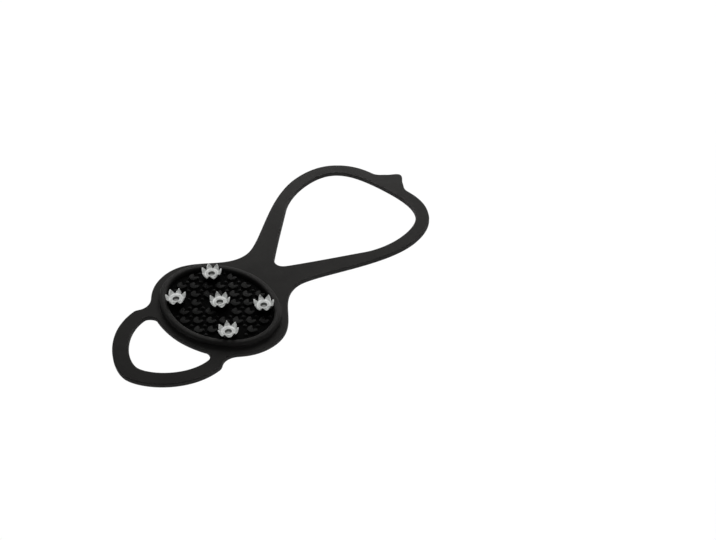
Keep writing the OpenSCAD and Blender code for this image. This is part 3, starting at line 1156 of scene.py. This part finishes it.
@dataclass
class Stud:
    """One stud: a stamped crown, the rivet that holds it and the washer behind the band."""

    place: StudPlace
    teeth: int = 7
    hole: float = 4.3 * MM
    flat: float = 6.4 * MM
    turn_up: float = 9.8 * MM
    tip: float = 10.6 * MM
    tip_width: float = 0.3 * MM
    gap_foot: float = 0.4 * MM
    sheet: float = 0.7 * MM
    sheared: float = 0.08 * MM
    tip_band: float = 0.01 * MM
    across_steps: int = 8
    base_steps: int = 2
    cup_steps: int = 5
    tooth_steps: int = 8
    rim: float = 5.6 * MM
    rim_height: float = 0.3 * MM
    rim_round: float = 0.18 * MM
    rim_steps: int = 4
    shank: float = 4.2 * MM
    bore: float = 3.4 * MM
    bore_depth: float = 1.8 * MM
    bore_point: float = 0.85 * MM
    head: float = 7.4 * MM
    head_height: float = 0.6 * MM
    rivet_points: int = 48
    washer_edge: float = 0.12 * MM
    washer_edge_steps: int = 2
    washer_points: int = 56

    def centre(self) -> np.ndarray:
        """Gives the plan point of the stud's axis."""
        return stud_centre(self.place)

    def turn(self) -> float:
        """Reads the turn of the crown from the tips of its CAD node.

        Returns:
            Angle of a tooth, in radians.
        """
        node = f"crown_{self.place.value}"
        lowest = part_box(node)[1].z - self.tip_band
        tips = np.array([v.co.xy for v in frame["nodes"][node].data.vertices if v.co.z > lowest])
        away = tips - self.centre()
        angles = np.arctan2(away[:, 1], away[:, 0])
        return float(np.angle(np.mean(np.exp(1j * self.teeth * angles)))) / self.teeth

    def sections(self, height: float) -> tuple[np.ndarray, np.ndarray]:
        """Gives the crown's section along a tooth.

        Args:
            height: Height of the whole crown.

        Returns:
            Radii and heights of the lower and of the upper side, from the flat base to the tip.
        """
        lean = (self.tip - self.turn_up) / 2
        rise = height - self.sheet * lean / math.hypot(lean, height)
        foot = math.sqrt(self.gap_foot / rise)
        cup = np.linspace(0, foot, self.cup_steps + 1)
        t = np.concatenate([cup, np.linspace(foot, 1, self.tooth_steps + 1)[1:]])[:, None]
        start = np.array((self.flat / 2, 0))
        knee = np.array((self.turn_up / 2, 0))
        tip = np.array((self.tip / 2, rise))
        lower = (1 - t) ** 2 * start + 2 * t * (1 - t) * knee + t * t * tip
        way = (1 - t) * (knee - start) + t * (tip - knee)
        way /= np.linalg.norm(way, axis=1)[:, None]
        return lower, lower + self.sheet * np.column_stack([-way[:, 1], way[:, 0]])

    def side(self, skin: Skin, section: np.ndarray, base: float, flat: float) -> CrownSide:
        """Adds the points of one side of the crown.

        Args:
            skin: Skin of the crown.
            section: Radii and heights from the flat base to the tip.
            base: Height of the crown's seat.
            flat: Height of this side in the middle, above the seat.

        Returns:
            Rows of the cup, and rows of each tooth.
        """
        centre, half = self.centre(), math.pi / self.teeth
        across = np.linspace(-1, 1, self.across_steps + 1)
        middles = np.arange(self.teeth) * 2 * half + self.turn()
        all_round = np.concatenate([angle + half * across[:-1] for angle in middles])
        level = np.linspace(self.hole / 2, section[0, 0], self.base_steps + 1)[:-1]
        rings = [(radius, flat) for radius in level]
        rings += [tuple(place) for place in section[: self.cup_steps + 1]]
        cup = [skin.add(around(centre, radius, all_round), base + rise) for radius, rise in rings]
        tooth = section[self.cup_steps :]
        run = np.concatenate([[0], np.cumsum(np.linalg.norm(np.diff(tooth, axis=0), axis=1))])
        widths = half + (self.tip_width / self.tip - half) * run / run[-1]
        teeth = []
        count = self.across_steps
        for k, angle in enumerate(middles):
            rows = [cup[-1][np.arange(k * count, (k + 1) * count + 1) % len(all_round)]]
            for (radius, rise), width in zip(tooth[1:], widths[1:]):
                rows.append(skin.add(around(centre, radius, angle + width * across), base + rise))
            teeth.append(rows)
        return CrownSide(cup, teeth)

    def crown(self, material: bpy.types.Material) -> bpy.types.Object:
        """Makes the crown as one bent sheet with pointed teeth.

        Args:
            material: The crown's steel.

        Returns:
            The finished piece.
        """
        node = f"crown_{self.place.value}"
        low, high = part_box(node)
        lower, upper = self.sections(high.z - low.z)
        skin = Skin()
        outside = self.side(skin, lower, low.z, 0.0)
        inside = self.side(skin, upper, low.z, self.sheet)
        skin.lattice(outside.cup, True)
        skin.lattice(inside.cup[::-1], True)
        skin.lattice([outside.cup[0][::-1], inside.cup[0][::-1]], True)
        for below, above in zip(outside.teeth, inside.teeth):
            skin.lattice(below, False)
            skin.lattice(above[::-1], False)
            rims = []
            for rows in (below, above):
                going = [row[0] for row in rows]
                tip = list(rows[-1][1:-1])
                coming = [row[-1] for row in rows[::-1]]
                rims.append(np.array(going + tip + coming))
            skin.lattice(rims, False)
        made = skin.piece(f"steel_{node}", material, self.sheared)
        return self.fix(made, node)

    def rivet(self, material: bpy.types.Material) -> bpy.types.Object:
        """Makes the tubular rivet with its flat head and rolled rim.

        Args:
            material: The rivet's steel.

        Returns:
            The finished piece.
        """
        node = f"rivet_{self.place.value}"
        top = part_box(node)[1].z
        under = top - self.rim_height
        floor = top - self.bore_depth
        corners = np.array([
            (0, 0),
            (self.head / 2, 0),
            (self.head / 2, self.head_height),
            (self.shank / 2, self.head_height),
            (self.shank / 2, under),
            (self.rim / 2, under),
            (self.rim / 2, top),
            (self.bore / 2, top),
            (self.bore / 2, floor),
            (0, floor - self.bore_point),
        ])
        profile = rounded(corners, self.rim_round, self.rim_steps, False)
        # The bore takes the hollow colour: painted shade inside the rivet
        in_bore = (profile[:, 0] < self.bore / 2 + SAME_PLACE) & (profile[:, 1] > self.head_height)
        skin = Skin()
        skin.revolve(profile, self.centre(), self.rivet_points, wear_and_painted_light=in_bore.astype(float))
        made = skin.piece(f"steel_{node}", material)
        return self.fix(made, node)

    def washer(self, material: bpy.types.Material) -> bpy.types.Object:
        """Makes the backing washer with broken edges.

        Args:
            material: The washer's steel.

        Returns:
            The finished piece.
        """
        node = f"washer_{self.place.value}"
        low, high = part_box(node)
        radius = (high.x - low.x) / 2
        corners = np.array([
            (self.hole / 2, low.z),
            (radius, low.z),
            (radius, high.z),
            (self.hole / 2, high.z),
        ])
        profile = rounded(corners, self.washer_edge, self.washer_edge_steps, True)
        skin = Skin()
        skin.revolve(profile, self.centre(), self.washer_points, ring=True)
        made = skin.piece(f"steel_{node}", material)
        return self.fix(made, node)

    def fix(self, made: bpy.types.Object, node: str) -> bpy.types.Object:
        """Fixes a piece to the sole in place of its CAD node.

        Args:
            made: The piece.
            node: The CAD node.

        Returns:
            The piece.
        """
        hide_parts(node)
        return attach(made, Body.SOLE.value)


@dataclass(frozen=True)
class Lamp:
    """One soft square lamp."""

    name: str
    place: tuple[float, float, float]
    size: float
    watts: float


@dataclass
class Studio:
    """White table, soft lamps and the photograph's camera."""

    floor_size: float = 8.0
    floor_drop: float = 0.2 * MM
    floor_white: Colour = (0.85, 0.85, 0.85)
    floor_roughness: float = 0.9
    table_glow: float = 1.2
    see_through: float = 0.985
    ambient: float = 0.04
    wall_glow: float = 0.3
    ceiling_glow: float = 0.84
    wall_top: float = 0.2
    ceiling: float = 0.65
    focal_px: float = 1361.0
    width_px: float = 716.0
    sensor: float = 36.0
    azimuth: float = math.radians(40.33)
    elevation: float = math.radians(41.11)
    distance: float = 713.56 * MM
    aim: tuple[float, float, float] = (33.46 * MM, 68.41 * MM, 0.0)
    lamps: tuple[Lamp, ...] = (
        Lamp("lamp_above", (-0.28, 0.38, 0.21), 0.35, 7.2),
        Lamp("lamp_side", (0.9, 0.6, 0.9), 0.8, 1.5),
        Lamp("lamp_below", (0.15, -0.1, -0.7), 0.5, 2.0),
    )

    def seen(self, tree: bpy.types.NodeTree) -> Socket:
        """Tells apart the rays that show the background.

        Args:
            tree: The node tree.

        Returns:
            1 for rays from the camera or by way of metal or glass, and 0 for others.
        """
        rays = tree.nodes.new("ShaderNodeLightPath")
        value = rays.outputs["Is Camera Ray"]
        for name in ("Is Glossy Ray", "Is Transmission Ray"):
            value = self.combine(tree, "MAXIMUM", value, rays.outputs[name])
        return value

    @staticmethod
    def combine(
        tree: bpy.types.NodeTree,
        operation: str,
        first: Socket | float,
        second: Socket | float,
    ) -> Socket:
        """Adds a math node to a tree.

        Args:
            tree: The node tree.
            operation: Blender's name of the operation.
            first: A socket or a number.
            second: A socket or a number.

        Returns:
            The result.
        """
        made = tree.nodes.new("ShaderNodeMath")
        made.operation = operation
        for socket, value in zip(made.inputs, (first, second)):
            if isinstance(value, Socket):
                tree.links.new(value, socket)
            else:
                socket.default_value = value
        return made.outputs["Value"]

    def mirrored(self, tree: bpy.types.NodeTree) -> Socket:
        """Works out what the room adds to plain white in reflections.

        Args:
            tree: The world's node tree.

        Returns:
            Nothing below the table, and the difference from white of dim walls and a bright ceiling.
        """
        place = tree.nodes.new("ShaderNodeTexCoord")
        axes = tree.nodes.new("ShaderNodeSeparateXYZ")
        tree.links.new(place.outputs["Generated"], axes.inputs["Vector"])
        height = tree.nodes.new("ShaderNodeMapRange")
        height.interpolation_type = "SMOOTHSTEP"
        height.inputs["From Min"].default_value = self.wall_top
        height.inputs["From Max"].default_value = self.ceiling
        height.inputs["To Min"].default_value = self.wall_glow - 1.0
        height.inputs["To Max"].default_value = self.ceiling_glow - 1.0
        tree.links.new(axes.outputs["Z"], height.inputs["Value"])
        above = self.combine(tree, "GREATER_THAN", axes.outputs["Z"], 0.0)
        rays = tree.nodes.new("ShaderNodeLightPath")
        above = self.combine(tree, "MULTIPLY", above, rays.outputs["Is Glossy Ray"])
        return self.combine(tree, "MULTIPLY", above, height.outputs["Result"])

    def world(self) -> None:
        """Sets the surroundings: white to look at, dim as light, a room in reflections."""
        world = bpy.data.worlds.new("surroundings")
        world.use_nodes = True
        tree = world.node_tree
        background = tree.nodes["Background"]
        background.inputs["Color"].default_value = WHITE
        shown = self.combine(tree, "MULTIPLY", self.seen(tree), 1.0 - self.ambient)
        level = self.combine(tree, "ADD", shown, self.ambient)
        level = self.combine(tree, "ADD", level, self.mirrored(tree))
        tree.links.new(level, background.inputs["Strength"])
        bpy.context.scene.world = world

    def floor(self) -> None:
        """Lays the white light table, which is almost clear to the camera and keeps a faint shadow."""
        half = self.floor_size / 2
        skin = Skin()
        corners = np.array([(-half, -half), (half, -half), (half, half), (-half, half)])
        skin.cap(skin.add(corners, -self.floor_drop))
        wiring = Wiring("white_table")
        shader = wiring.shader
        shader.inputs["Base Color"].default_value = (*self.floor_white, 1)
        shader.inputs["Roughness"].default_value = self.floor_roughness
        shader.inputs["Specular IOR Level"].default_value = 0.0
        shader.inputs["Emission Color"].default_value = WHITE
        shader.inputs["Emission Strength"].default_value = self.table_glow
        clear = wiring.node("ShaderNodeBsdfTransparent")
        mix = wiring.node("ShaderNodeMixShader")
        share = self.combine(wiring.tree, "MULTIPLY", self.seen(wiring.tree), self.see_through)
        wiring.link(share, mix.inputs["Fac"])
        wiring.link(shader.outputs["BSDF"], mix.inputs[1])
        wiring.link(clear.outputs["BSDF"], mix.inputs[2])
        wiring.link(mix.outputs["Shader"], wiring.output.inputs["Surface"])
        floor = skin.piece("table", wiring.material)
        floor.visible_shadow = False

    def light(self) -> None:
        """Hangs the lamps, each aimed at the middle of the cleat."""
        middle = (cad_box[0] + cad_box[1]) / 2
        for lamp in self.lamps:
            data = bpy.data.lights.new(lamp.name, "AREA")
            data.size = lamp.size
            data.energy = lamp.watts
            made = bpy.data.objects.new(lamp.name, data)
            made.location = lamp.place
            made.visible_glossy = False
            made.visible_camera = False
            made.rotation_euler = (middle - made.location).to_track_quat("-Z", "Y").to_euler()
            bpy.context.scene.collection.objects.link(made)

    def camera(self) -> None:
        """Sets the camera at the photograph's viewing angle."""
        data = bpy.data.cameras.new("camera")
        data.sensor_width = self.sensor
        data.lens = self.focal_px / self.width_px * self.sensor
        made = bpy.data.objects.new("camera", data)
        level = math.cos(self.elevation)
        back = Vector((
            math.sin(self.azimuth) * level,
            -math.cos(self.azimuth) * level,
            math.sin(self.elevation),
        ))
        made.location = Vector(self.aim) + self.distance * back
        made.rotation_euler = (-back).to_track_quat("-Z", "Y").to_euler()
        bpy.context.scene.collection.objects.link(made)
        bpy.context.scene.camera = made

    def set_up(self) -> None:
        """Builds the studio."""
        bpy.context.scene.view_settings.view_transform = "Standard"
        self.camera()
        self.world()
        self.floor()
        self.light()


def report(piece: bpy.types.Object) -> None:
    """Logs a finished piece."""
    log.info("%s: %d points, %d faces", piece.name, len(piece.data.vertices), len(piece.data.polygons))


def main() -> None:
    """Builds the cleat piece by piece."""
    logging.basicConfig(level=logging.INFO, format="%(name)s %(message)s")
    Studio().set_up()
    folds = {joint["name"]: joint["pos_m"][1] for joint in frame["joints"]}
    toe, heel = folds["toe_loop_fold"], folds["heel_loop_fold"]
    band = BAND_RUBBER.material()
    report(SolePad("sole_band", "rubber_sole_band", (toe, heel)).dress(band))
    report(Loop("toe_loop", "rubber_toe_loop", (toe,), body=Body.TOE_LOOP).dress(band))
    report(Loop("heel_loop", "rubber_heel_loop", (heel,), body=Body.HEEL_LOOP).dress(band))
    report(TreadPad().dress(TREAD_RUBBER.material()))
    crown, rivet, washer = CROWN_STEEL.material(), RIVET_STEEL.material(), WASHER_STEEL.material()
    for place in StudPlace:
        stud = Stud(place)
        report(stud.crown(crown))
        report(stud.rivet(rivet))
        report(stud.washer(washer))


if __name__ == "__main__":
    main()
